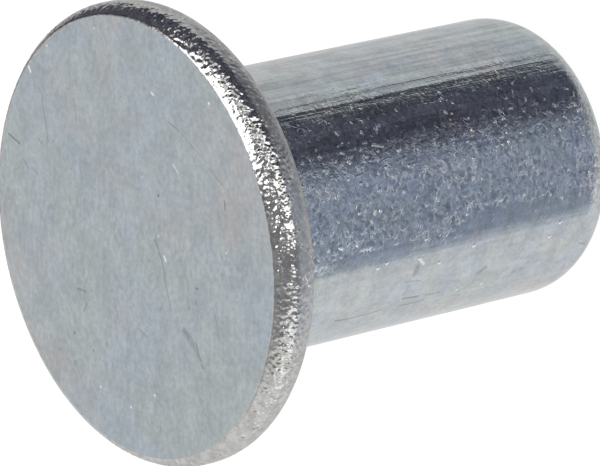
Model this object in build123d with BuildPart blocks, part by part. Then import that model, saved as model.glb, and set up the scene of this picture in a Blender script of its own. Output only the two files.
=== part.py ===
from build123d import *
import os
from math import asin, degrees

# Flat-head rivet, cold-headed in one piece from round wire.
# It stands on its tail. The origin is the centre of the tail's end face, and +Z runs
# along the axis, up the shank, to the flat face of the head. Sizes are in millimetres.

# Shank
shank_diameter = 8.0
length_under_head = 13.0
neck_fillet = 0.3

# The cropped end of the wire is tumbled round: how far the rounding reaches
# in from the side, and how far up the shank
tail_round_in = 0.88
tail_round_up = 1.08

# Head
head_diameter = 12.9
head_thickness = 1.16

# The front of the rim bulges out of the heading die as an elliptical arc.
# The punch has planed off its crown, which leaves the flat face with a clear edge.
front_arc_radial = 0.58
front_arc_axial = 0.46
front_arc_planed = 0.035
face_edge_radius = 0.25

# The back of the rim turns in to the seat as a second, deeper arc
back_arc_radial = 0.44
back_arc_axial = 0.555

# Radii and heights that follow from these
shank_radius = shank_diameter / 2
head_radius = head_diameter / 2
seat_height = length_under_head
face_height = length_under_head + head_thickness
back_arc_top = seat_height + back_arc_axial
front_arc_base = face_height - front_arc_axial + front_arc_planed
crown_angle = degrees(asin(1 - front_arc_planed / front_arc_axial))

with BuildPart() as rivet:
    # Half section through the axis, from the tail's end face round to the head's face
    with BuildSketch(Plane.XZ):
        with BuildLine():
            tail_end = Line((0, 0), (shank_radius - tail_round_in, 0))
            tail_round = EllipticalCenterArc(
                center=(shank_radius - tail_round_in, tail_round_up),
                x_radius=tail_round_in,
                y_radius=tail_round_up,
                start_angle=270,
                arc_size=90,
            )
            shank_side = Line(tail_round @ 1, (shank_radius, seat_height))
            seat = Line(shank_side @ 1, (head_radius - back_arc_radial, seat_height))
            rim_back = EllipticalCenterArc(
                center=(head_radius - back_arc_radial, back_arc_top),
                x_radius=back_arc_radial,
                y_radius=back_arc_axial,
                start_angle=270,
                arc_size=90,
            )
            rim_side = Line(rim_back @ 1, (head_radius, front_arc_base))
            rim_front = EllipticalCenterArc(
                center=(head_radius - front_arc_radial, front_arc_base),
                x_radius=front_arc_radial,
                y_radius=front_arc_axial,
                start_angle=0,
                arc_size=crown_angle,
            )
            face = Line(rim_front @ 1, (0, face_height))
            axis_line = Line(face @ 1, tail_end @ 0)
        make_face()
    revolve(axis=Axis.Z)

    # The edge of the face is broken by a small radius
    face_edge = rivet.edges().filter_by(GeomType.CIRCLE).group_by(Axis.Z)[-1]
    fillet(face_edge, radius=face_edge_radius)

    # The fillet in the corner between the shank and the seat, left by the die's mouth
    seat_edges = rivet.edges().filter_by(GeomType.CIRCLE).filter_by_position(
        Axis.Z, seat_height, seat_height
    )
    fillet(seat_edges.sort_by(SortBy.RADIUS)[0], radius=neck_fillet)

rivet.part.label = "rivet"

os.makedirs("parts", exist_ok=True)
export_step(rivet.part, "parts/rivet.step")
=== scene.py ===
"""A zinc-plated flat-head rivet, standing on its tail in a small photographic studio.

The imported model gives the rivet's envelope. The skin built here follows the same half
section and adds what the heading die, the drawing die and the plating barrel leave on
the metal. Lengths are in metres in the model's own frame, unless the text says mm or px.
"""

import logging
import math
from dataclasses import dataclass, field
from enum import Enum
from functools import reduce
from typing import Any, Iterator, Sequence

import bmesh
import bpy
from mathutils import Matrix, Vector


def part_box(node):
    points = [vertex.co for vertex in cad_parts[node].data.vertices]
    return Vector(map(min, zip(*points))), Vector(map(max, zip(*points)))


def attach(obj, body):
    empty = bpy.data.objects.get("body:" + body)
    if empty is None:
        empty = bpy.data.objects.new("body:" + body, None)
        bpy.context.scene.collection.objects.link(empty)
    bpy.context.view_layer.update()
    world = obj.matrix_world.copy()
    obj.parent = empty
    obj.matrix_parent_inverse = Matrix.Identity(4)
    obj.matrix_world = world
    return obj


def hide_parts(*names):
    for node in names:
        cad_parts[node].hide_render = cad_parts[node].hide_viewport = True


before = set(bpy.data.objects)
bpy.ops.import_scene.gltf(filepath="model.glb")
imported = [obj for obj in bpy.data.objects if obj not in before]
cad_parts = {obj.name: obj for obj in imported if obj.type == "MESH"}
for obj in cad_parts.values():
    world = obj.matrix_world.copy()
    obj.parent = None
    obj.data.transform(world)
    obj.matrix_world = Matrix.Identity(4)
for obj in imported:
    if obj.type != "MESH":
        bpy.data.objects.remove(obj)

MM = 0.001
WELD = 1e-7
CAD_NODE = "rivet"
BODY = "root"

Colour = tuple[float, float, float]
Pair = tuple[float, float]
Socket = bpy.types.NodeSocket
log = logging.getLogger("rivet")


class Zone(Enum):
    """The parts of the skin that the tools and the barrel finish differently."""

    FACE = 0
    RIM = 1
    SHANK = 2


class NodeSheet:
    """Adds and wires the nodes of one node tree."""

    def __init__(self, tree: bpy.types.NodeTree) -> None:
        """Keeps the tree that the nodes go into."""
        self.tree = tree

    @classmethod
    def cleared(cls, owner: bpy.types.Material | bpy.types.World) -> "NodeSheet":
        """Empties the node tree of a new material or world.

        Args:
            owner: The material or world.

        Returns:
            Its sheet.
        """
        owner.use_nodes = True
        owner.node_tree.nodes.clear()
        return cls(owner.node_tree)

    def add(self, kind: str, inputs: dict[Any, Any] | None = None, **settings: Any) -> bpy.types.Node:
        """Adds a node.

        Args:
            kind: The node's type name.
            inputs: Input name or number, to a socket or a plain value.
            **settings: The node's own properties.

        Returns:
            The node.
        """
        node = self.tree.nodes.new(kind)
        for name, value in settings.items():
            setattr(node, name, value)
        for name, value in (inputs or {}).items():
            self.feed(node.inputs[name], value)
        return node

    def feed(self, target: Socket, value: Any) -> None:
        """Links a socket to an input, or sets the input's own value.

        Args:
            target: The input.
            value: An output socket or a plain value.
        """
        if isinstance(value, Socket):
            self.tree.links.new(value, target)
        elif isinstance(value, tuple) and target.type == "RGBA":
            target.default_value = (*value, 1.0)
        else:
            target.default_value = value

    def math(self, operation: str, *values: Any, clamp: bool = False) -> Socket:
        """The result of a Math node, held between 0 and 1 if it is clamped."""
        node = self.add("ShaderNodeMath", dict(enumerate(values)), operation=operation, use_clamp=clamp)
        return node.outputs[0]

    def times(self, *values: Any) -> Socket:
        """The product of the values."""
        return reduce(lambda product, value: self.math("MULTIPLY", product, value), values)

    def vector(self, operation: str, *values: Any) -> Socket:
        """The result of a Vector Math node.

        Args:
            operation: The operation's name.
            *values: Its operands; a SCALE has its factor second.

        Returns:
            The result, a plain value for dot products and distances.
        """
        node = self.add("ShaderNodeVectorMath", operation=operation)
        for place, value in enumerate(values):
            self.feed(node.inputs["Scale" if operation == "SCALE" and place == 1 else place], value)
        return node.outputs["Value" if operation in {"DOT_PRODUCT", "DISTANCE"} else "Vector"]

    def ramp(self, value: Any, low: Any, high: Any, to_low: Any = 0.0, to_high: Any = 1.0) -> Socket:
        """A smooth step: to_low where the value is at low, to_high where it is at high."""
        inputs = {"Value": value, "From Min": low, "From Max": high, "To Min": to_low, "To Max": to_high}
        return self.add("ShaderNodeMapRange", inputs, interpolation_type="SMOOTHSTEP").outputs["Result"]

    def fade(self, share: Any, at_none: Any, at_full: Any) -> Socket:
        """A smooth step between two values as a share goes from 0 to 1."""
        return self.ramp(share, 0.0, 1.0, at_none, at_full)

    def noise(
        self, place: Any, scale: Any, detail: Any = 2.0, roughness: Any = 0.5, dimensions: str = "3D",
        **more: Any,
    ) -> Socket:
        """A Noise Texture's value, between 0 and 1, with so many lumps per unit of the coordinate."""
        inputs = {"Vector": place, "Scale": scale, "Detail": detail, "Roughness": roughness, **more}
        return self.add("ShaderNodeTexNoise", inputs, noise_dimensions=dimensions).outputs["Fac"]

    def stretched(self, place: Any, lengths: Sequence[float], turn_deg: float = 0.0) -> Socket:
        """A coordinate whose patterns are so many times as long along X, Y and Z, turned about Z."""
        inputs = {"Vector": place, "Scale": tuple(lengths), "Rotation": (0.0, 0.0, math.radians(turn_deg))}
        return self.add("ShaderNodeMapping", inputs, vector_type="TEXTURE").outputs["Vector"]

    def blend(self, share: Any, first: Any, second: Any, how: str = "MIX") -> Socket:
        """Mixes two colours.

        Args:
            share: How much of the second is used.
            first: The colour at share 0.
            second: The colour at share 1.
            how: The blend type's name.

        Returns:
            The mixed colour's socket.
        """
        node = self.add("ShaderNodeMix", {"Factor": share}, data_type="RGBA", blend_type=how)
        for target, value in zip([s for s in node.inputs if s.type == "RGBA"], (first, second)):
            self.feed(target, value)
        return next(s for s in node.outputs if s.type == "RGBA")

    def pressed(self, *reliefs: tuple[Any, Any]) -> Socket:
        """Bumps, laid one over the other.

        Args:
            *reliefs: Each one's height, from 0 to 1, and its depth.

        Returns:
            The normal's socket.
        """
        normal: Any = None
        for height, depth in reliefs:
            bump = self.add("ShaderNodeBump", {"Height": height, "Distance": depth})
            if normal is not None:
                self.feed(bump.inputs["Normal"], normal)
            normal = bump.outputs["Normal"]
        return normal


class SharedEffect:
    """A shader node group that several finishes use, built once.

    Attributes:
        inputs: Name to the preset of a plain number, or else to the kind of socket.
    """

    name = ""
    inputs: dict[str, Any] = {}
    outputs: tuple[str, ...] = ()
    output_kind = "NodeSocketFloat"

    @classmethod
    def tree(cls) -> bpy.types.NodeTree:
        """Makes the group on first use.

        Returns:
            The group's tree.
        """
        made = bpy.data.node_groups.get(cls.name)
        if made is None:
            made = bpy.data.node_groups.new(cls.name, "ShaderNodeTree")
            for name, preset in {"Place": "NodeSocketVector", **cls.inputs}.items():
                kind = preset if isinstance(preset, str) else "NodeSocketFloat"
                socket = made.interface.new_socket(name, in_out="INPUT", socket_type=kind)
                if kind is not preset:
                    socket.default_value = preset
            for name in cls.outputs:
                made.interface.new_socket(name, in_out="OUTPUT", socket_type=cls.output_kind)
            sheet = NodeSheet(made)
            given = sheet.add("NodeGroupInput").outputs
            sheet.add("NodeGroupOutput", dict(zip(cls.outputs, cls.wire(sheet, given, given["Place"]))))
        return made

    @classmethod
    def wire(cls, sheet: NodeSheet, given: Any, place: Socket) -> Sequence[Socket]:
        """Builds the group's inside.

        Args:
            sheet: The group's own sheet.
            given: The group's input values, by name.
            place: The coordinate that its patterns follow, in mm.

        Returns:
            What feeds the outputs, in their order.
        """
        raise NotImplementedError

    @classmethod
    def place(cls, sheet: NodeSheet, place: Any, **inputs: Any) -> Any:
        """Puts the group into a material and gives its outputs, by name."""
        return sheet.add("ShaderNodeGroup", {"Place": place, **inputs}, node_tree=cls.tree()).outputs


class PassivateTint(SharedEffect):
    """The faint blue, green and straw cast of the thin passivate over the zinc."""

    name = "passivate_tint"
    inputs = {"Metal": "NodeSocketColor", "Patches": 0.4, "Strength": 0.5}
    outputs = ("Color",)
    output_kind = "NodeSocketColor"
    cool: Colour = (0.94, 0.995, 1.04)
    green: Colour = (0.97, 1.01, 0.985)
    warm: Colour = (1.03, 0.99, 0.975)
    elsewhere = (31.0, 17.0, 5.0)

    @classmethod
    def wire(cls, sheet: NodeSheet, given: Any, place: Socket) -> Sequence[Socket]:
        """Lets two slow noises choose between the three casts. See base class."""
        slow = sheet.noise(place, given["Patches"], 5.0, 0.6)
        other = sheet.noise(sheet.vector("ADD", place, cls.elsewhere), given["Patches"], 5.0, 0.6)
        cast = sheet.blend(sheet.ramp(slow, 0.4, 0.6), cls.cool, cls.green)
        cast = sheet.blend(sheet.ramp(other, 0.5, 0.7), cast, cls.warm)
        tinted = sheet.blend(1.0, given["Metal"], cast, "MULTIPLY")
        return (sheet.blend(given["Strength"], given["Metal"], tinted),)


class PlatingGrain(SharedEffect):
    """The fine crystalline roughness of electroplated zinc, as a height."""

    name = "plating_grain"
    inputs = {"Grains": 9.0, "Crispness": 0.6}
    outputs = ("Height",)

    @classmethod
    def wire(cls, sheet: NodeSheet, given: Any, place: Socket) -> Sequence[Socket]:
        """Rounded lumps with finer lumps on them. See base class."""
        return (sheet.noise(place, given["Grains"], 3.0, given["Crispness"]),)


class ZincNodules(SharedEffect):
    """Tiny round nodules that stand out matt from the plating, where glints are painted bright."""

    name = "zinc_nodules"
    inputs = {"Cells": 6.0, "Coverage": 0.1, "Width": 0.3}
    outputs = ("Mask",)

    @classmethod
    def wire(cls, sheet: NodeSheet, given: Any, place: Socket) -> Sequence[Socket]:
        """Puts a nodule, of its own size and shape, into one Voronoi cell in so many. See base class."""
        bent = sheet.add("ShaderNodeTexNoise", {"Vector": place, "Scale": given["Cells"], "Detail": 1.0})
        sway = sheet.vector("SUBTRACT", bent.outputs["Color"], (0.5, 0.5, 0.5))
        sway = sheet.vector("SCALE", sway, sheet.math("DIVIDE", 1.2, given["Cells"]))
        swayed = {"Vector": sheet.vector("ADD", place, sway), "Scale": given["Cells"]}
        cells = sheet.add("ShaderNodeTexVoronoi", swayed).outputs
        chance = sheet.add("ShaderNodeSeparateColor", {"Color": cells["Color"]}).outputs
        crowd = sheet.ramp(sheet.noise(place, 0.7, 2.0, 0.6), 0.38, 0.62, 0.25, 1.75)
        held = sheet.math("LESS_THAN", chance["Red"], sheet.times(given["Coverage"], crowd))
        reach = sheet.times(given["Width"], sheet.math("MULTIPLY_ADD", chance["Green"], 0.6, 0.4))
        spot = sheet.ramp(cells["Distance"], reach, sheet.times(reach, 0.4))
        # Each nodule gets its own strength, which also sets how bright its painted glint is
        painted_glint = sheet.math("MULTIPLY_ADD", chance["Blue"], 0.5, 0.5)
        return (sheet.times(spot, held, painted_glint),)


class PlatingCurls(SharedEffect):
    """Short curling creases, left where the zinc grew over scratches in the wire, with a wider band around
    them for a painted reflection.
    """

    name = "plating_curls"
    inputs = {"Curls": 4.0, "Width": 0.06}
    outputs = ("Crease", "Sheen Band")
    elsewhere = (11.0, 3.0, 7.0)

    @classmethod
    def wire(cls, sheet: NodeSheet, given: Any, place: Socket) -> Sequence[Socket]:
        """A noise's middle contour, sharp as a crease and wide as the band of painted reflection. See base
        class.
        """
        contour = sheet.noise(place, given["Curls"], 2.0, 0.6, Distortion=0.5)
        gap = sheet.math("ABSOLUTE", sheet.math("SUBTRACT", contour, 0.5))
        crease = sheet.ramp(gap, given["Width"], sheet.times(given["Width"], 0.2))
        moved = sheet.vector("ADD", place, cls.elsewhere)
        kept = sheet.ramp(sheet.noise(moved, given["Curls"], 2.0, 0.6), 0.4, 0.7)
        return sheet.times(crease, kept), sheet.ramp(gap, sheet.times(given["Width"], 2.6), 0.0)


class Mark(SharedEffect):
    """A mark along a straight line, or a round one where the line has no length."""

    name = "mark"
    inputs = {"Start": "NodeSocketVector", "End": "NodeSocketVector", "Reach": 0.03, "Strength": 0.5}
    outputs = ("Mask",)

    @classmethod
    def wire(cls, sheet: NodeSheet, given: Any, place: Socket) -> Sequence[Socket]:
        """Turns the distance to the line into a soft-edged mask. See base class."""
        line = sheet.vector("SUBTRACT", given["End"], given["Start"])
        away = sheet.vector("SUBTRACT", place, given["Start"])
        length = sheet.math("MAXIMUM", sheet.vector("DOT_PRODUCT", line, line), 1e-6)
        share = sheet.math("DIVIDE", sheet.vector("DOT_PRODUCT", away, line), length, clamp=True)
        gap = sheet.vector("DISTANCE", away, sheet.vector("SCALE", line, share))
        return (sheet.ramp(gap, given["Reach"], sheet.times(given["Reach"], 0.15), 0.0, given["Strength"]),)


class MarkKind(Enum):
    """What a mark shows."""

    SCORE = "dark"
    # A glint is a painted highlight
    GLINT = "painted_glint"


@dataclass(frozen=True)
class ScoreOrGlint:
    """One small mark, a dark score or a painted glint, in mm on the flat or unrolled surface that holds it.

    Attributes:
        start: One end of the mark.
        end: Its other end, or the same point for a spot.
        reach: Half its width.
        strength: How clearly it shows, from 0 to 1.
    """

    kind: MarkKind
    start: Pair
    end: Pair
    reach: float
    strength: float


def score(start: Pair, end: Pair, reach: float, strength: float) -> ScoreOrGlint:
    """A dark scratch, painted dark with dirt and shade."""
    return ScoreOrGlint(MarkKind.SCORE, start, end, reach, strength)


def pit(centre: Pair, reach: float, strength: float) -> ScoreOrGlint:
    """A dark pit, painted dark with dirt and shade."""
    return score(centre, centre, reach, strength)


def glint_fleck(start: Pair, end: Pair, reach: float, strength: float) -> ScoreOrGlint:
    """A painted glint along a short stroke."""
    return ScoreOrGlint(MarkKind.GLINT, start, end, reach, strength)


def glint_dot(centre: Pair, reach: float, strength: float) -> ScoreOrGlint:
    """A round painted glint."""
    return glint_fleck(centre, centre, reach, strength)


def gathered(sheet: NodeSheet, place: Socket, marks: Sequence[ScoreOrGlint]) -> list[Any]:
    """One mask for all the marks of a kind.

    Args:
        sheet: The material's sheet.
        place: The place on the flat or unrolled surface, in mm.
        marks: The surface's marks.

    Returns:
        The masks, in the order of MarkKind.
    """
    masks: dict[MarkKind, Any] = dict.fromkeys(MarkKind, 0.0)
    for mark in marks:
        ends = {"Start": (*mark.start, 0.0), "End": (*mark.end, 0.0)}
        made = Mark.place(sheet, place, **ends, Reach=mark.reach, Strength=mark.strength)
        masks[mark.kind] = sheet.math("MAXIMUM", masks[mark.kind], made["Mask"])
    return list(masks.values())


class ZincFinish:
    """A bare plated finish, whose patterns are laid out in mm.

    Attributes:
        name: The material's name.
        edge: The metal's cast where it is seen at a slant.
    """

    name = ""
    edge: Colour = (1.0, 1.0, 1.0)

    def build(self) -> bpy.types.Material:
        """Makes the material.

        Returns:
            The material.
        """
        material = bpy.data.materials.new(self.name)
        sheet = NodeSheet.cleared(material)
        place = sheet.vector("SCALE", sheet.add("ShaderNodeTexCoord").outputs["Object"], 1.0 / MM)
        colour, roughness, normal = self.wire(sheet, place)
        inputs = {"Metallic": 1.0, "Base Color": colour, "Roughness": roughness, "Normal": normal}
        shader = sheet.add("ShaderNodeBsdfPrincipled", {**inputs, "Specular Tint": self.edge})
        sheet.add("ShaderNodeOutputMaterial", {"Surface": shader.outputs[0]})
        return material

    def wire(self, sheet: NodeSheet, place: Socket) -> tuple[Any, Any, Any]:
        """Builds the finish's patterns.

        Args:
            sheet: The material's sheet.
            place: The place on the rivet, in mm.

        Returns:
            The colour, the roughness and the normal.
        """
        raise NotImplementedError


@dataclass(frozen=True)
class FaceFinish(ZincFinish):
    """The head's face: flattened by the punch, satin, with a few handling marks and painted glints.

    Attributes:
        grime_and_shade: The dark of the scores and pits: dirt, and painted shade.
        painted_glint: The near-white colour of a painted glint.
        rub_deg: The direction of the faint rub marks, as an angle about the axis.
    """

    name = "face_zinc"
    metal: Colour = (0.49, 0.512, 0.53)
    grime_and_shade: Colour = (0.15, 0.15, 0.145)
    painted_glint: Colour = (0.97, 0.99, 1.0)
    roughness: float = 0.38
    grain_depth: float = 6.0e-6
    groove_depth: float = 4.0e-6
    rub_deg: float = -20.0
    marks: tuple[ScoreOrGlint, ...] = (
        score((3.62, 4.73), (3.29, 4.34), 0.06, 0.55), score((4.48, 2.79), (3.13, 3.01), 0.04, 0.3),
        score((3.31, 3.44), (3.09, 3.27), 0.05, 0.3), score((2.84, 4.32), (2.60, 4.20), 0.07, 0.28),
        score((2.53, 3.97), (2.31, 3.82), 0.05, 0.28), score((4.08, 1.40), (3.53, 1.47), 0.05, 0.2),
        score((-0.47, 2.68), (-0.72, 2.80), 0.05, 0.25), score((-1.00, 3.19), (-1.13, 2.83), 0.055, 0.4),
        score((-1.44, 2.91), (-1.64, 3.14), 0.045, 0.32), score((-1.50, 1.61), (-2.05, 1.65), 0.045, 0.25),
        score((-2.41, 0.87), (-2.71, 0.51), 0.045, 0.28), score((2.80, -2.58), (2.53, -2.93), 0.035, 0.38),
        score((2.53, -2.93), (1.56, -3.78), 0.035, 0.24), score((1.36, -3.88), (0.83, -4.27), 0.05, 0.24),
        score((-0.18, -0.81), (-0.78, -0.91), 0.045, 0.42),
        score((-0.78, -0.91), (-1.44, -0.84), 0.045, 0.38),
        score((-1.44, -0.84), (-2.15, -0.80), 0.045, 0.36), score((0.40, -4.22), (0.17, -4.15), 0.05, 0.5),
        score((-2.34, -2.69), (-3.16, -2.65), 0.045, 0.22),
        score((-2.76, -1.19), (-3.20, -1.44), 0.15, 0.34),
        score((-3.20, -1.44), (-3.62, -1.60), 0.11, 0.3), score((-2.78, -1.25), (-3.17, -1.57), 0.03, 0.5),
        score((-3.17, -1.57), (-3.86, -1.63), 0.035, 0.6), pit((0.96, -1.40), 0.07, 0.85),
        pit((-1.72, -2.16), 0.07, 0.75), pit((-2.17, -1.62), 0.09, 0.4), pit((-2.18, 3.79), 0.08, 0.6),
        pit((-2.53, 4.63), 0.075, 0.45), pit((-2.77, 3.11), 0.07, 0.35), pit((2.26, 2.23), 0.05, 0.4),
        pit((4.38, 2.56), 0.06, 0.3), pit((3.81, -0.73), 0.05, 0.35), pit((-2.31, 0.38), 0.06, 0.35),
        glint_fleck((1.66, -2.37), (1.43, -2.49), 0.05, 0.5), glint_fleck((-0.67, -1.05), (-0.80, -1.08), 0.055, 0.8),
        glint_dot((-0.10, -1.00), 0.05, 0.6), glint_dot((-0.96, -3.78), 0.055, 0.7), glint_dot((3.02, -4.50), 0.065, 1.0),
        glint_fleck((3.70, -2.12), (3.62, -2.20), 0.05, 0.8), glint_dot((1.56, -0.87), 0.045, 0.5),
        glint_dot((-3.79, 3.15), 0.06, 0.8), glint_dot((-4.50, 1.98), 0.065, 0.8), glint_dot((-4.31, 0.78), 0.06, 0.8),
        glint_fleck((5.29, 3.10), (5.13, 3.07), 0.06, 1.0), glint_dot((5.80, -0.25), 0.055, 0.6),
        glint_dot((5.70, 2.05), 0.06, 0.7),
    )

    def wire(self, sheet: NodeSheet, place: Socket) -> tuple[Any, Any, Any]:
        """Shades the face with grain, patches, rub marks, handling marks painted dark with dirt and shade,
        and painted glints. See base class.
        """
        tint = PassivateTint.place(sheet, place, Metal=self.metal, Patches=0.28, Strength=1.0)
        speckle = sheet.noise(sheet.stretched(place, (1.15, 1.0, 1.0), self.rub_deg), 6.0, 4.0, 0.75)
        patches = sheet.noise(sheet.stretched(place, (1.4, 1.0, 1.0), self.rub_deg), 1.5, 4.0, 0.7)
        rubs = sheet.noise(sheet.stretched(place, (1.8, 1.0, 1.0), self.rub_deg), 4.5, 2.0, Distortion=0.4)
        fine = sheet.ramp(speckle, 0.25, 0.75, 0.87, 1.13)
        broad = sheet.ramp(patches, 0.3, 0.7, 0.91, 1.08)
        shade = sheet.times(fine, broad, sheet.ramp(rubs, 0.22, 0.35, 0.8, 1.0))
        dark, light = gathered(sheet, sheet.vector("MULTIPLY", place, (1.0, 1.0, 0.0)), self.marks)
        # Scores and pits are painted dark: dirt, and painted shade
        colour = sheet.blend(dark, sheet.vector("SCALE", tint["Color"], shade), self.grime_and_shade)
        # Painted glints: small spots and strokes painted near white
        colour = sheet.blend(light, colour, self.painted_glint)
        cloud = sheet.noise(place, 1.3, 4.0, 0.6)
        roughness = sheet.ramp(cloud, 0.25, 0.75, self.roughness - 0.05, self.roughness + 0.05)
        grain = PlatingGrain.place(sheet, place, Grains=7.0, Crispness=0.7)["Height"]
        flat = sheet.math("SUBTRACT", 1.0, dark)
        return colour, roughness, sheet.pressed((flat, self.groove_depth), (grain, self.grain_depth))


@dataclass(frozen=True)
class RimFinish(ZincFinish):
    """The rim: bulged free of the die, so it keeps a coarse, bright, hammered skin.

    Attributes:
        face_height: Height of the head's face, in mm.
        back_metal: The metal's cast on the side and the back, which the barrel has dulled.
        nodule_glint: The near-white painted glint on a nodule.
        matt: The roughness of a nodule.
        back_matt: How much rougher the side and the back are.
        beads: How many of the skin's round beads there are to a millimetre.
        beading: How much the beads count beside the grain.
        grain_depth: How deep the grain is on the front of the rim.
        edge_depth: How deep it is by the face.
        nodule_depth: How far a nodule stands out.
    """

    name = "rim_zinc"
    face_height: float
    metal: Colour = (0.565, 0.55, 0.535)
    back_metal: Colour = (0.6, 0.585, 0.57)
    nodule_glint: Colour = (0.96, 0.95, 0.93)
    edge: Colour = (0.85, 0.85, 0.85)
    roughness: float = 0.12
    matt: float = 0.35
    back_matt: float = 0.3
    beads: float = 7.0
    beading: float = 0.75
    grain_depth: float = 30.0e-6
    edge_depth: float = 3.0e-6
    nodule_depth: float = 25.0e-6

    def wire(self, sheet: NodeSheet, place: Socket) -> tuple[Any, Any, Any]:
        """Beads the front of the rim and dulls its back. See base class."""
        height = sheet.add("ShaderNodeSeparateXYZ", {0: place}).outputs["Z"]
        drop = sheet.math("SUBTRACT", self.face_height, height)
        back = sheet.ramp(drop, 0.3, 0.54)
        metal = sheet.blend(back, self.metal, self.back_metal)
        tint = PassivateTint.place(sheet, place, Metal=metal, Patches=0.8, Strength=0.5)
        mottle = sheet.ramp(sheet.noise(place, 4.5, 3.0, 0.65), 0.3, 0.7, 0.84, 1.16)
        nodules = ZincNodules.place(sheet, place, Cells=5.0, Coverage=0.42, Width=0.42)
        nodules_and_glints = sheet.times(nodules["Mask"], sheet.ramp(drop, 0.1, 0.2))
        # Painted glints: the nodules are painted near white
        colour = sheet.blend(nodules_and_glints, sheet.vector("SCALE", tint["Color"], mottle), self.nodule_glint)
        cloud = sheet.noise(place, 3.0, 3.0, 0.6)
        polish = sheet.ramp(cloud, 0.3, 0.7, self.roughness - 0.04, self.roughness + 0.08)
        polish = sheet.math("MULTIPLY_ADD", back, self.back_matt, polish)
        patches = sheet.ramp(sheet.noise(place, 0.8), 0.38, 0.55, 0.65, 1.0)
        deepest = sheet.times(patches, self.grain_depth)
        depth = sheet.ramp(drop, 0.03, 0.14, self.edge_depth, deepest)
        depth = sheet.ramp(drop, 0.5, 0.8, depth, sheet.times(deepest, 0.6))
        grain = PlatingGrain.place(sheet, place, Grains=6.0, Crispness=0.35)
        cells = {"Vector": place, "Scale": self.beads, "Smoothness": 0.25}
        bead = sheet.add("ShaderNodeTexVoronoi", cells, feature="SMOOTH_F1").outputs["Distance"]
        skin = sheet.math("MULTIPLY_ADD", sheet.ramp(bead, 0.7, 0.05), self.beading, grain["Height"])
        normal = sheet.pressed((nodules_and_glints, self.nodule_depth), (skin, depth))
        return colour, sheet.fade(nodules_and_glints, polish, self.matt), normal


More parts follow.
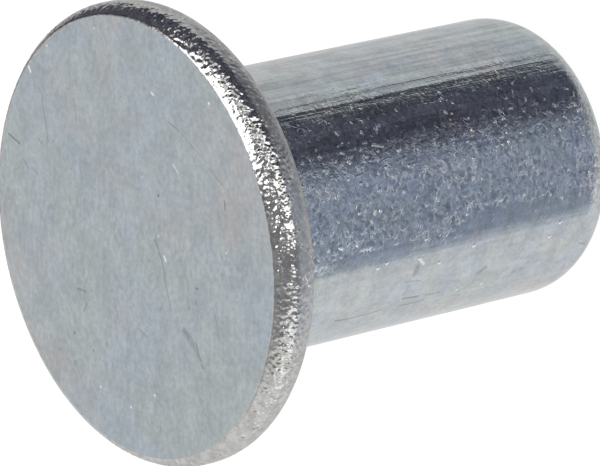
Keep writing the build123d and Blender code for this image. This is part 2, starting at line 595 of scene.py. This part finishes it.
@dataclass(frozen=True)
class ShankFinish(ZincFinish):
    """The shank: drawn wire with faint lines along it, and rougher along one side, where painted
    reflections lighten the curls and darken between them.

    Attributes:
        radius: The shank's radius, in mm.
        grime_and_shade: The dark of the scratches: dirt, and painted shade.
        nodule_glint: The near-white painted glint on a nodule, on a glint mark and along a curl.
        matt: The roughness of a nodule.
        rough_side_deg: The middle of the rough side, as an angle about the axis.
        scored_side_deg: The middle of the side that the drawing die scored most.
        grain_depth: How deep the grain is on the rough side.
        smooth_depth: How deep it is elsewhere.
        score_depth: How deep the die's lines are on the scored side.
        line_depth: How deep they are elsewhere.
        marks: Single scratches painted dark with dirt and shade, and painted glints on large
        nodules, placed by the distance around the shank from the side opposite +Y, towards +X,
        and by the height.
    """

    name = "shank_zinc"
    radius: float
    metal: Colour = (0.53, 0.543, 0.556)
    grime_and_shade: Colour = (0.2, 0.2, 0.2)
    nodule_glint: Colour = (0.98, 0.98, 0.98)
    edge: Colour = (0.88, 0.88, 0.88)
    roughness: float = 0.14
    matt: float = 0.3
    rough_side_deg: float = 277.0
    scored_side_deg: float = 316.0
    grain_depth: float = 9.5e-6
    smooth_depth: float = 1.5e-6
    curl_depth: float = 6.0e-6
    nodule_depth: float = 14.0e-6
    line_depth: float = 2.5e-6
    score_depth: float = 15.0e-6
    marks: tuple[ScoreOrGlint, ...] = (
        score((-4.15, 9.7), (-4.2, 9.2), 0.06, 0.6), score((-4.2, 9.2), (-4.2, 8.6), 0.05, 0.55),
        score((-4.2, 8.6), (-4.15, 8.0), 0.05, 0.5), score((-4.15, 7.4), (-4.2, 6.9), 0.05, 0.5),
        score((-4.2, 6.9), (-4.15, 6.5), 0.05, 0.5), score((-3.85, 7.4), (-3.9, 6.8), 0.06, 0.55),
        score((-3.95, 6.5), (-3.95, 6.0), 0.05, 0.4), score((-2.95, 7.35), (-2.7, 7.3), 0.14, 0.42),
        score((-3.15, 7.6), (-3.25, 7.0), 0.05, 0.3), score((-3.7, 7.45), (-3.35, 7.45), 0.06, 0.2),
        score((-3.5, 4.8), (-3.35, 4.6), 0.12, 0.4), score((-4.0, 3.6), (-3.95, 3.4), 0.09, 0.25),
        score((-3.85, 3.4), (-3.75, 3.0), 0.05, 0.3), score((-3.05, 2.8), (-2.95, 2.6), 0.07, 0.2),
        score((-3.25, 1.1), (-3.4, 0.75), 0.06, 0.3), glint_fleck((-2.45, 7.3), (-2.65, 7.1), 0.07, 0.7),
        glint_fleck((-1.75, 9.5), (-1.75, 9.2), 0.07, 0.6), glint_fleck((-1.25, 4.4), (-1.25, 4.5), 0.06, 0.6),
        glint_fleck((1.05, 8.5), (0.95, 8.2), 0.06, 0.8), glint_fleck((1.15, 8.8), (1.15, 8.7), 0.05, 0.6),
        glint_fleck((1.55, 8.1), (1.55, 8.0), 0.06, 0.6),
        *(
            glint_dot(centre, 0.08, 0.8)
            for centre in (
                (-2.75, 6.5), (-2.35, 8.5), (-2.45, 8.8), (-1.55, 10.7), (-1.25, 11.2), (-4.05, 5.3),
                (-4.05, 4.4), (-2.75, 2.4), (-2.45, 5.3), (-2.35, 2.1), (-1.25, 3.6), (0.85, 8.4),
                (0.75, 7.7), (0.25, 7.5), (0.35, 8.3), (1.75, 8.5), (0.75, 9.5), (0.65, 10.4), (0.05, 9.3),
            )
        ),
    )

    def wire(self, sheet: NodeSheet, place: Socket) -> tuple[Any, Any, Any]:
        """Draws the die's lines along the shank, and creases and studs its rough side, with painted
        reflections along the creases and painted glints on the studs. See base class.
        """
        ragged = sheet.noise(sheet.stretched(place, (1.0, 1.0, 3.0)), 0.9, 4.0, 0.65)
        calm = sheet.noise(sheet.stretched(place, (1.0, 1.0, 6.0)), 0.6, 1.0)
        scored = self.side(sheet, place, self.scored_side_deg, calm, (1.14, 1.2))
        rough = self.side(sheet, place, self.rough_side_deg, ragged, (1.03, 1.15))
        rough = sheet.times(rough, sheet.fade(scored, 1.0, 0.55))
        curls = PlatingCurls.place(sheet, place, Curls=4.6, Width=0.085)
        curled = sheet.times(curls["Crease"], rough)
        nodules = ZincNodules.place(sheet, place, Cells=4.4, Coverage=0.5, Width=0.38)
        nodules_and_glints = sheet.times(nodules["Mask"], sheet.ramp(rough, 0.0, 0.6, 0.12, 1.0))
        part = sheet.add("ShaderNodeSeparateXYZ", {0: place}).outputs
        around = sheet.times(sheet.math("ARCTAN2", part["X"], sheet.times(part["Y"], -1.0)), self.radius)
        unrolled = sheet.add("ShaderNodeCombineXYZ", {"X": around, "Y": part["Z"]}).outputs[0]
        dark, light = gathered(sheet, unrolled, self.marks)
        nodules_and_glints = sheet.math("MAXIMUM", nodules_and_glints, light)
        tint = PassivateTint.place(sheet, place, Metal=self.metal, Patches=0.8, Strength=1.0)
        reach = sheet.fade(rough, 0.07, 0.2)
        darkest, lightest = sheet.math("SUBTRACT", 1.0, reach), sheet.math("ADD", 1.0, reach)
        fine = sheet.ramp(sheet.noise(place, 9.0, 3.0, 0.7), 0.3, 0.7, darkest, lightest)
        # Painted reflection: lighter along the curls and darker between them, most on the rough side
        painted_curl_reflection = sheet.fade(curls["Sheen Band"], sheet.fade(rough, 0.94, 0.82), sheet.fade(rough, 1.05, 1.2))
        blotches = sheet.ramp(sheet.noise(place, 1.8, 3.0, 0.6), 0.3, 0.7, 0.9, 1.1)
        drawn = sheet.noise(sheet.stretched(place, (1.0, 1.0, 28.0)), 5.5, 3.0, 0.6)
        dulled = sheet.ramp(drawn, 0.35, 0.6, sheet.fade(scored, 0.98, 0.8), sheet.fade(scored, 1.02, 1.05))
        shade = sheet.times(fine, painted_curl_reflection, blotches, dulled)
        # Scratches are painted dark: dirt, and painted shade
        colour = sheet.blend(dark, sheet.vector("SCALE", tint["Color"], shade), self.grime_and_shade)
        # Painted glints: the nodules, the glint marks and the curls are painted near white
        colour = sheet.blend(sheet.math("MAXIMUM", nodules_and_glints, sheet.times(curled, 0.6)), colour, self.nodule_glint)
        cloud = sheet.noise(place, 1.0, 4.0, 0.6)
        polish = sheet.ramp(cloud, 0.3, 0.7, self.roughness - 0.03, self.roughness + 0.05)
        matted = sheet.math("MAXIMUM", nodules_and_glints, sheet.times(curled, 0.5))
        grain = PlatingGrain.place(sheet, place, Grains=8.0, Crispness=0.65)
        normal = sheet.pressed(
            (drawn, sheet.fade(scored, self.line_depth, self.score_depth)),
            (curled, self.curl_depth),
            (nodules_and_glints, self.nodule_depth),
            (grain["Height"], sheet.fade(rough, self.smooth_depth, self.grain_depth)),
        )
        return colour, sheet.fade(matted, polish, self.matt), normal

    @staticmethod
    def side(sheet: NodeSheet, place: Socket, angle_deg: float, ragged: Socket, border: Pair) -> Socket:
        """A mask for one side of the shank, with ragged borders.

        Args:
            sheet: The shank's sheet.
            place: The place, in mm.
            angle_deg: The middle of the side, as an angle about the axis.
            ragged: The noise that the borders follow.
            border: Where the mask starts and where it is full; higher values make it narrower.

        Returns:
            A value between 0 and 1.
        """
        turn = math.radians(angle_deg)
        level = sheet.vector("NORMALIZE", sheet.vector("MULTIPLY", place, (1.0, 1.0, 0.0)))
        facing = sheet.vector("DOT_PRODUCT", level, (math.cos(turn), math.sin(turn), 0.0))
        return sheet.ramp(sheet.math("MULTIPLY_ADD", ragged, 0.5, facing), *border)


def placed(name: str, data: bpy.types.ID) -> bpy.types.Object:
    """Puts a new object in the scene, at the origin.

    Args:
        name: The object's name.
        data: Its mesh or camera.

    Returns:
        The object.
    """
    made = bpy.data.objects.new(name, data)
    bpy.context.scene.collection.objects.link(made)
    return made


@dataclass(frozen=True)
class SectionRow:
    """One point of the half section, with the share of each irregularity there."""

    radius: float
    height: float
    zone: Zone
    peel: float = 0.0
    lines: float = 0.0
    skew: float = 0.0


SHARES = ("peel", "lines", "skew")


@dataclass
class RivetSkin:
    """The whole rivet, turned from its half section. All lengths here are in mm.

    Attributes:
        around: How many points there are once around.
        peel_depth: How deep the hammered skin of the rim goes.
        peel_size: The size of its lumps.
        line_depth: How deep the lines go that the drawing die left along the shank.
        wave_depth: How far the shank is from true over a millimetre or so.
        lines_per_metre: How fast the lines' pattern changes along X, Y and Z.
        waves_per_metre: How fast the waves' pattern does.
        face_shift: How far the flat of the face sits off the axis.
        face_oval: How much longer than round the flat is, each way.
        seed: Which of the random patterns is used.
    """

    head_diameter: float
    length_over_all: float
    shank_diameter: float = 8.0
    head_thickness: float = 1.16
    neck_fillet: float = 0.3
    tail_round_in: float = 0.88
    tail_round_up: float = 1.08
    front_arc_radial: float = 0.58
    front_arc_axial: float = 0.46
    front_arc_planed: float = 0.035
    face_edge_radius: float = 0.25
    back_arc_radial: float = 0.44
    back_arc_axial: float = 0.555
    around: int = 916
    shank_bands: int = 21
    peel_depth: float = 0.02
    peel_size: float = 0.1
    line_depth: float = 0.006
    wave_depth: float = 0.006
    lines_per_metre: tuple[float, ...] = (3600.0, 3600.0, 40.0)
    waves_per_metre: tuple[float, ...] = (700.0, 700.0, 250.0)
    face_shift: float = 0.17
    face_shift_deg: float = 94.0
    face_oval: float = 0.07
    face_oval_deg: float = 0.0
    seed: int = 7
    rows: list[SectionRow] = field(default_factory=list)

    @classmethod
    def filling(cls, low: Vector, high: Vector) -> "RivetSkin":
        """A skin as wide and as tall as the box between two corners, in metres."""
        return cls(head_diameter=(high.x - low.x) / MM, length_over_all=(high.z - low.z) / MM)

    @staticmethod
    def arc(centre: Pair, half: Pair, turn_deg: Pair, count: int) -> Iterator[tuple[float, float, float]]:
        """Points along an elliptical arc of the half section.

        Args:
            centre: The ellipse's centre, as radius and height.
            half: Its half width and half height.
            turn_deg: Where the arc starts and ends, from the outward direction.
            count: Number of points.

        Yields:
            Radius, height and the share of the arc that lies behind the point.
        """
        for step in range(count):
            share = step / (count - 1)
            angle = math.radians(turn_deg[0] + (turn_deg[1] - turn_deg[0]) * share)
            yield centre[0] + half[0] * math.cos(angle), centre[1] + half[1] * math.sin(angle), share

    def face_corner(self, centre: Pair, face: float) -> tuple[Pair, float, float]:
        """The small rounding that joins the face to the front arc.

        Args:
            centre: The front arc's centre, as radius and height.
            face: The face's height.

        Returns:
            The rounding's centre, the direction in which it meets the arc, and the
            arc's own angle there, both in degrees from the outward direction.
        """
        low, high = 0.0, math.pi / 2
        for _ in range(50):
            angle = (low + high) / 2
            across, along = math.cos(angle) / self.front_arc_radial, math.sin(angle) / self.front_arc_axial
            inset = self.face_edge_radius / math.hypot(across, along)
            radius = centre[0] + self.front_arc_radial * math.cos(angle) - inset * across
            height = centre[1] + self.front_arc_axial * math.sin(angle) - inset * along
            if height < face - self.face_edge_radius:
                low = angle
            else:
                high = angle
        return (radius, height), math.degrees(math.atan2(along, across)), math.degrees(angle)

    def section(self) -> Iterator[SectionRow]:
        """Goes down the half section.

        Yields:
            Its rows, from the middle of the head's face to the middle of the tail's end.
        """
        shank, head = self.shank_diameter / 2, self.head_diameter / 2
        face, seat = self.length_over_all, self.length_over_all - self.head_thickness
        front = (head - self.front_arc_radial, face - self.front_arc_axial + self.front_arc_planed)
        back = (head - self.back_arc_radial, seat + self.back_arc_axial)
        corner, corner_deg, front_deg = self.face_corner(front, face)
        for share in (0.0, 0.3, 0.55, 0.74):
            yield SectionRow(corner[0] * share, face, Zone.FACE)
        for inset, skew in ((1.0, 0.25), (0.5, 0.6), (0.2, 0.9), (0.08, 1.0)):
            yield SectionRow(corner[0] - inset, face, Zone.FACE, skew=skew)
        half = (self.face_edge_radius, self.face_edge_radius)
        for radius, height, share in self.arc(corner, half, (90.0, corner_deg), 6):
            yield SectionRow(radius, height, Zone.RIM, peel=0.3 * share, skew=1.0)
        half = (self.front_arc_radial, self.front_arc_axial)
        for radius, height, share in self.arc(front, half, (front_deg, 0.0), 22):
            if share > 0.0:
                peel = min(1.0, 0.4 + share * 6) * (1 - 0.6 * share)
                yield SectionRow(radius, height, Zone.RIM, peel=peel, skew=(1 - share) ** 2)
        for share in (0.33, 0.66):
            yield SectionRow(head, front[1] + (back[1] - front[1]) * share, Zone.RIM, peel=0.35)
        half = (self.back_arc_radial, self.back_arc_axial)
        for radius, height, share in self.arc(back, half, (0.0, -90.0), 20):
            yield SectionRow(radius, height, Zone.RIM, peel=max(0.12, 0.35 - share))
        for radius in (5.6, 5.1, 4.7):
            yield SectionRow(radius, seat, Zone.RIM, peel=0.15)
        neck = (shank + self.neck_fillet, seat - self.neck_fillet)
        half = (self.neck_fillet, self.neck_fillet)
        for radius, height, share in self.arc(neck, half, (90.0, 180.0), 7):
            yield SectionRow(radius, height, Zone.SHANK, lines=share)
        for band in range(1, self.shank_bands):
            height = neck[1] + (self.tail_round_up - neck[1]) * band / self.shank_bands
            yield SectionRow(shank, height, Zone.SHANK, lines=1.0)
        tail = (shank - self.tail_round_in, self.tail_round_up)
        half = (self.tail_round_in, self.tail_round_up)
        for radius, height, share in self.arc(tail, half, (0.0, -90.0), 16):
            yield SectionRow(radius, height, Zone.SHANK, lines=1.0 - share)
        for share in (0.8, 0.4, 0.0):
            yield SectionRow(tail[0] * share, 0.0, Zone.SHANK)

    def section_mesh(self) -> bpy.types.Mesh:
        """Draws the half section in the XZ plane, in metres.

        Returns:
            A mesh with one point for each row, which holds the row's zone and shares.
        """
        mesh = bpy.data.meshes.new("half_section")
        points = [(row.radius * MM, 0.0, row.height * MM) for row in self.rows]
        mesh.from_pydata(points, [(i, i + 1) for i in range(len(points) - 1)], [])
        for name in SHARES:
            layer = mesh.attributes.new(name, "FLOAT", "POINT")
            layer.data.foreach_set("value", [getattr(row, name) for row in self.rows])
        layer = mesh.attributes.new("zone", "INT", "POINT")
        layer.data.foreach_set("value", [row.zone.value for row in self.rows])
        return mesh

    def inputs(self, finishes: dict[Zone, bpy.types.Material]) -> dict[str, Any]:
        """What the node tree is given, in metres and radians.

        Args:
            finishes: The material of each zone.

        Returns:
            Input name to value.
        """
        lengths = ("peel_depth", "peel_size", "line_depth", "wave_depth", "face_shift", "face_oval")
        return {
            "Rows": len(self.rows),
            "Around": self.around,
            **{name.replace("_", " ").title(): getattr(self, name) * MM for name in lengths},
            "Shift Towards": math.radians(self.face_shift_deg),
            "Oval Along": math.radians(self.face_oval_deg),
            "Seed": float(self.seed),
            **{f"{zone.name.title()} Finish": finishes[zone] for zone in Zone},
        }

    def turning_tree(self, inputs: dict[str, Any]) -> bpy.types.NodeTree:
        """Makes the node tree that turns a half section about Z and presses the reliefs in.

        Args:
            inputs: Input name to value.

        Returns:
            The tree.
        """
        tree = bpy.data.node_groups.new("turned_rivet", "GeometryNodeTree")
        kinds = {int: "NodeSocketInt", float: "NodeSocketFloat", bpy.types.Material: "NodeSocketMaterial"}
        tree.interface.new_socket("Half Section", in_out="INPUT", socket_type="NodeSocketGeometry")
        for name, value in inputs.items():
            tree.interface.new_socket(name, in_out="INPUT", socket_type=kinds[type(value)])
        tree.interface.new_socket("Skin", in_out="OUTPUT", socket_type="NodeSocketGeometry")
        sheet = NodeSheet(tree)
        given = sheet.add("NodeGroupInput").outputs
        position = sheet.add("GeometryNodeInputPosition").outputs[0]

        # A flat sheet of cells: its X counts the rows and its Y goes once around
        seam = sheet.math("ADD", given["Around"], 1.0)
        cells = {"Size X": 1.0, "Size Y": 1.0, "Vertices X": given["Rows"], "Vertices Y": seam}
        skin = sheet.add("GeometryNodeMeshGrid", cells).outputs["Mesh"]
        flat = sheet.add("ShaderNodeSeparateXYZ", {0: position}).outputs
        row = sheet.times(sheet.math("ADD", flat["X"], 0.5), sheet.math("SUBTRACT", given["Rows"], 1.0))
        turn = sheet.times(sheet.math("ADD", flat["Y"], 0.5), 2 * math.pi)
        nearest = sheet.math("ROUND", row)

        def after(kind: str, **more: Any) -> Socket:
            """The skin after one more step."""
            return sheet.add(kind, {"Geometry": skin, **more}).outputs[0]

        def sampled(kind: str, value: Socket, index: Socket) -> Socket:
            """A value of the half section at the given row."""
            source = {"Geometry": given["Half Section"], "Value": value, "Index": index}
            return sheet.add("GeometryNodeSampleIndex", source, data_type=kind, clamp=True).outputs["Value"]

        def named(name: str, kind: str = "FLOAT") -> Socket:
            """A named value of whatever geometry asks for it."""
            node = sheet.add("GeometryNodeInputNamedAttribute", {"Name": name}, data_type=kind)
            return next(s for s in node.outputs if s.enabled and s.name == "Attribute")

        def stored(name: str, kind: str, domain: str, index: Socket) -> Socket:
            """Writes a value of the half section on the skin.

            Args:
                name: The value's name.
                kind: Its data type.
                domain: What it is written on, the points or the faces.
                index: The row that it comes from.

            Returns:
                The skin with the value.
            """
            target = {"Geometry": skin, "Name": name}
            node = sheet.add("GeometryNodeStoreNamedAttribute", target, data_type=kind, domain=domain)
            value = next(s for s in node.inputs if s.enabled and s.name == "Value")
            sheet.feed(value, sampled(kind, named(name, kind), index))
            return node.outputs["Geometry"]

        def relief(place: Socket, detail: float, low: float, high: float) -> Socket:
            """A depth between 0 and 1 that follows a noise, flat at its top and bottom."""
            return sheet.ramp(sheet.noise(place, 1.0, detail, dimensions="4D", W=given["Seed"]), low, high)

        for name in SHARES:
            skin = stored(name, "FLOAT", "POINT", nearest)
        skin = stored("zone", "INT", "FACE", sheet.math("FLOOR", row))

        # The flat of the face is a little oval and off the axis, and the front arc evens it out
        part = sheet.add("ShaderNodeSeparateXYZ", {0: sampled("FLOAT_VECTOR", position, nearest)}).outputs
        towards = sheet.math("COSINE", sheet.math("SUBTRACT", turn, given["Shift Towards"]))
        along = sheet.math("COSINE", sheet.times(sheet.math("SUBTRACT", turn, given["Oval Along"]), 2.0))
        shift = sheet.times(towards, given["Face Shift"])
        shift = sheet.math("MULTIPLY_ADD", along, given["Face Oval"], shift)
        radius = sheet.math("MULTIPLY_ADD", shift, named("skew"), part["X"])
        across, deep = (sheet.times(radius, sheet.math(kind, turn)) for kind in ("COSINE", "SINE"))
        turned = sheet.add("ShaderNodeCombineXYZ", {"X": across, "Y": deep, "Z": part["Z"]}).outputs[0]
        skin = after("GeometryNodeSetPosition", Position=turned)
        skin = after("GeometryNodeMergeByDistance", Distance=WELD)

        # Every relief is pressed inwards, so the skin never leaves the envelope
        lumps = sheet.vector("SCALE", position, sheet.math("DIVIDE", 1.0, given["Peel Size"]))
        lines = sheet.vector("MULTIPLY", position, self.lines_per_metre)
        waves = sheet.vector("MULTIPLY", position, self.waves_per_metre)
        depth: Any = 0.0
        for shape, deepest, share in (
            (relief(lumps, 1.5, 0.3, 0.7), "Peel Depth", "peel"),
            (relief(lines, 2.0, 0.25, 0.75), "Line Depth", "lines"),
            (relief(waves, 1.0, 0.2, 0.8), "Wave Depth", "lines"),
        ):
            depth = sheet.math("MULTIPLY_ADD", sheet.times(shape, given[deepest]), named(share), depth)
        outwards = sheet.add("GeometryNodeInputNormal").outputs[0]
        inwards = sheet.vector("SCALE", outwards, sheet.times(depth, -1.0))
        skin = after("GeometryNodeSetPosition", Offset=inwards)
        skin = after("GeometryNodeSetShadeSmooth")
        skin = after("GeometryNodeRealizeInstances")
        for zone in Zone:
            chosen = sheet.add("FunctionNodeCompare", data_type="INT", operation="EQUAL")
            first, second = [s for s in chosen.inputs if s.enabled][:2]
            sheet.feed(first, named("zone", "INT"))
            sheet.feed(second, zone.value)
            finish = given[f"{zone.name.title()} Finish"]
            skin = after("GeometryNodeSetMaterial", Selection=chosen.outputs[0], Material=finish)
        sheet.add("NodeGroupOutput", {"Skin": skin})
        return tree

    def build(self, finishes: dict[Zone, bpy.types.Material]) -> bpy.types.Object:
        """Turns the skin and makes it a plain mesh.

        Args:
            finishes: The material of each zone.

        Returns:
            The finished piece.
        """
        self.rows = list(self.section())
        inputs = self.inputs(finishes)
        blank = placed("half_section", self.section_mesh())
        turning = blank.modifiers.new("turning", "NODES")
        turning.node_group = self.turning_tree(inputs)
        for socket in turning.node_group.interface.items_tree:
            if socket.name in inputs:
                turning[socket.identifier] = inputs[socket.name]
        evaluated = blank.evaluated_get(bpy.context.evaluated_depsgraph_get())
        mesh = bpy.data.meshes.new_from_object(evaluated)
        bpy.data.objects.remove(blank)
        for name in (*SHARES, "zone"):
            mesh.attributes.remove(mesh.attributes[name])
        mesh.name = "plated_rivet"
        return placed(mesh.name, mesh)


@dataclass(frozen=True)
class Viewpoint:
    """Where the rivet is seen from, and how the picture's frame is turned.

    Attributes:
        elevation_deg: Height of the camera above the horizon.
        roll_deg: How far the rivet's axis leans left of upright in the picture.
        distance: From the camera to the head's face, along the line of sight.
        face_centre_px: Where the centre of the head's face falls in the frame.
    """

    elevation_deg: float = 38.04
    roll_deg: float = 102.88
    distance: float = 0.1545
    lens_mm: float = 341.0
    sensor_mm: float = 36.0
    frame_px: tuple[int, int] = (600, 466)
    face_centre_px: Pair = (136.2, 237.5)

    def axes(self) -> tuple[Vector, Vector, Vector]:
        """Works out how the camera is turned.

        Returns:
            The picture's right and up directions, and the line of sight.
        """
        lift, lean = math.radians(self.elevation_deg), math.radians(self.roll_deg)
        sight = Vector((0.0, math.cos(lift), -math.sin(lift)))
        level = Vector((1.0, 0.0, 0.0))
        upright = level.cross(sight)
        up = upright * math.cos(lean) + level * math.sin(lean)
        right = level * math.cos(lean) - upright * math.sin(lean)
        return right, up, sight

    def build(self, target: Vector) -> bpy.types.Object:
        """Makes the camera and puts the target at its place in the frame.

        Args:
            target: The centre of the head's face.

        Returns:
            The camera.
        """
        right, up, sight = self.axes()
        data = bpy.data.cameras.new("camera")
        data.lens, data.sensor_width = self.lens_mm, self.sensor_mm
        data.clip_start, data.clip_end = 0.01, 5.0
        metres_per_px = self.distance * self.sensor_mm / self.lens_mm / self.frame_px[0]
        across = (self.face_centre_px[0] - self.frame_px[0] / 2) * metres_per_px
        down = (self.face_centre_px[1] - self.frame_px[1] / 2) * metres_per_px
        place = target - sight * self.distance - right * across + up * down
        camera = placed("camera", data)
        camera.matrix_world = Matrix.Translation(place) @ Matrix((right, up, -sight)).transposed().to_4x4()
        bpy.context.scene.camera = camera
        return camera


@dataclass(frozen=True)
class Screen:
    """One soft-edged patch of the studio, as the photographer sees it.

    Attributes:
        across_deg: Its left and right edges; 0 is behind the camera, 90 is to the right.
        up_deg: Its lower and upper edges.
        soft_deg: Width of its soft edge.
        level: Its brightness.
        tint: Its colour.
        cluttered: Whether things stand on it or in front of it.
    """

    name: str
    across_deg: Pair
    up_deg: Pair
    soft_deg: float
    level: float
    tint: Colour = (1.0, 1.0, 1.0)
    cluttered: bool = False


@dataclass(frozen=True)
class StudioSurround:
    """The studio that the metal mirrors: white tables, pale walls, a dim room and soft boxes.

    Attributes:
        room: What lies between the screens.
        clutter: How uneven the room is.
        screens: The screens; each one covers those before it.
    """

    room: Colour = (0.078, 0.08, 0.105)
    clutter: float = 0.55
    screens: tuple[Screen, ...] = (
        Screen("backdrop", (130.0, 218.0), (-100.0, 66.0), 40.0, 0.77),
        Screen("backdrop_top", (116.0, 236.0), (51.0, 72.0), 18.0, 0.7, (0.97, 1.0, 1.03)),
        Screen("side_wall", (64.0, 122.0), (-60.0, 26.0), 16.0, 0.35, (0.89, 1.0, 1.26)),
        Screen("back_wall", (106.0, 140.0), (-30.0, 24.0), 20.0, 0.6),
        Screen("front_wall", (-62.0, 75.0), (-60.0, -4.0), 14.0, 0.29, (0.97, 0.98, 1.05), cluttered=True),
        Screen("left_corner", (-90.0, -58.0), (-40.0, -16.0), 10.0, 0.36),
        Screen("left_wall", (-136.0, -86.0), (-60.0, 4.0), 16.0, 0.72, (0.96, 1.0, 1.03)),
        Screen("table_left", (-125.0, -62.0), (-80.0, -31.0), 10.0, 0.66, cluttered=True),
        Screen("table", (-185.0, 185.0), (-120.0, -38.0), 12.0, 0.88, cluttered=True),
        Screen("table_behind", (99.0, 265.0), (-120.0, -8.0), 16.0, 0.88),
        Screen("table_front", (-25.0, 95.0), (-66.0, -46.0), 12.0, 1.5),
        Screen("far_soft_box", (24.0, 66.0), (2.0, 26.0), 8.0, 0.8),
        Screen("right_soft_box", (-26.0, 34.0), (-7.0, 22.0), 10.0, 2.3),
        Screen("upper_soft_box", (-64.0, -28.0), (6.0, 31.0), 12.0, 1.05, cluttered=True),
        Screen("left_soft_box", (-89.0, -63.0), (-7.0, 11.0), 6.0, 3.2),
    )

    def build(self, view: Viewpoint) -> None:
        """Makes the world.

        Args:
            view: The viewpoint whose axes the screens are laid out by.
        """
        world = bpy.data.worlds.new("studio")
        sheet = NodeSheet.cleared(world)
        right, up, sight = view.axes()
        towards = sheet.add("ShaderNodeTexCoord").outputs["Generated"]
        part = [sheet.vector("DOT_PRODUCT", towards, tuple(axis)) for axis in (right, up, -sight)]
        across = sheet.times(sheet.math("ARCTAN2", part[0], part[2]), math.degrees(1.0))
        above = sheet.times(sheet.math("ARCSINE", part[1]), math.degrees(1.0))
        lumps = sheet.noise(towards, 5.0, 3.0, 0.6)
        uneven = sheet.ramp(lumps, 0.35, 0.7, 1.0 - self.clutter, 1.0 + 1.6 * self.clutter)
        colour = sheet.vector("SCALE", self.room, uneven)
        patchy = sheet.ramp(sheet.noise(towards, 9.0, 3.0, 0.6), 0.35, 0.65, 0.8, 1.2)
        for screen in self.screens:
            lit: Any = tuple(screen.level * channel for channel in screen.tint)
            if screen.cluttered:
                lit = sheet.vector("SCALE", lit, patchy)
            colour = sheet.blend(self.mask(sheet, across, above, screen), colour, lit)
            colour.node.label = screen.name
        background = sheet.add("ShaderNodeBackground", {"Color": colour, "Strength": 1.0})
        sheet.add("ShaderNodeOutputWorld", {"Surface": background.outputs[0]})
        bpy.context.scene.world = world

    def mask(self, sheet: NodeSheet, across: Socket, above: Socket, screen: Screen) -> Socket:
        """The share of a direction's light that comes from the screen.

        Args:
            sheet: The world's sheet.
            across: The direction's angle across, in degrees.
            above: The direction's angle above the level, in degrees.
            screen: The screen.

        Returns:
            The mask's socket.
        """
        masks = []
        for angle, (low, high) in ((across, screen.across_deg), (above, screen.up_deg)):
            middle, half = (low + high) / 2, (high - low) / 2
            gap = sheet.math("SUBTRACT", angle, middle)
            if angle is across:
                gap = sheet.math("WRAP", gap, 180.0, -180.0)
            gap = sheet.math("ABSOLUTE", gap)
            masks.append(sheet.ramp(gap, half + screen.soft_deg / 2, half - screen.soft_deg / 2))
        return sheet.times(*masks)


@dataclass(frozen=True)
class Stage:
    """The pale floor, and the white dome behind everything that the camera sees.

    Attributes:
        floor_gap: How far the floor lies below the rivet.
        floor_paleness: How much of the light it throws back.
        floor_glow: How bright it is by itself.
    """

    floor_radius: float = 0.6
    floor_gap: float = 0.00002
    floor_paleness: float = 0.18
    floor_glow: float = 0.93
    dome_radius: float = 0.75

    def build(self) -> None:
        """Makes the floor and the dome, which the metal doesn't mirror."""
        disc, ball = bmesh.new(), bmesh.new()
        drop = Matrix.Translation((0.0, 0.0, -self.floor_gap))
        bmesh.ops.create_circle(disc, cap_ends=True, segments=96, radius=self.floor_radius, matrix=drop)
        bmesh.ops.create_uvsphere(ball, u_segments=48, v_segments=24, radius=self.dome_radius)
        hidden = ("diffuse", "glossy", "shadow")
        floor = self.backdrop("floor", disc, self.floor_paleness, self.floor_glow, hidden)
        dome = self.backdrop("dome", ball, 0.0, 1.0, (*hidden, "transmission", "volume_scatter"))

    @staticmethod
    def backdrop(
        name: str, shape: bmesh.types.BMesh, paleness: float, glow: float, hidden: Sequence[str]
    ) -> bpy.types.Object:
        """Makes one glowing piece of the stage.

        Args:
            name: The object's name.
            shape: Its form, which is used up.
            paleness: How much of the light it throws back.
            glow: How bright it is by itself.
            hidden: The kinds of light ray that it is left out for.

        Returns:
            The object.
        """
        mesh = bpy.data.meshes.new(name)
        shape.to_mesh(mesh)
        shape.free()
        material = bpy.data.materials.new(f"{name}_paint")
        sheet = NodeSheet.cleared(material)
        matt = sheet.add("ShaderNodeBsdfDiffuse", {"Color": (paleness,) * 3})
        light = sheet.add("ShaderNodeEmission", {"Color": (1.0, 1.0, 1.0), "Strength": glow})
        both = sheet.add("ShaderNodeAddShader", {0: matt.outputs[0], 1: light.outputs[0]})
        sheet.add("ShaderNodeOutputMaterial", {"Surface": both.outputs[0]})
        mesh.materials.append(material)
        made = placed(name, mesh)
        for ray in hidden:
            setattr(made, f"visible_{ray}", False)
        log.info("%s: stage", name)
        return made


def main() -> None:
    """Builds the rivet and its studio."""
    logging.basicConfig(level=logging.INFO, format="%(name)s: %(message)s")
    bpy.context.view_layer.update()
    low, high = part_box(CAD_NODE)

    rivet = RivetSkin.filling(low, high)
    finishes = {
        Zone.FACE: FaceFinish().build(),
        Zone.RIM: RimFinish(face_height=high.z / MM).build(),
        Zone.SHANK: ShankFinish(radius=rivet.shank_diameter / 2).build(),
    }
    skin = rivet.build(finishes)
    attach(skin, BODY)
    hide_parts(CAD_NODE)
    log.info("%s: %d faces", skin.name, len(skin.data.polygons))

    view = Viewpoint()
    middle = (low + high) / 2
    view.build(Vector((middle.x, middle.y, high.z)))
    StudioSurround().build(view)
    Stage().build()
    bpy.context.scene.view_settings.view_transform = "Standard"


if __name__ == "__main__":
    main()
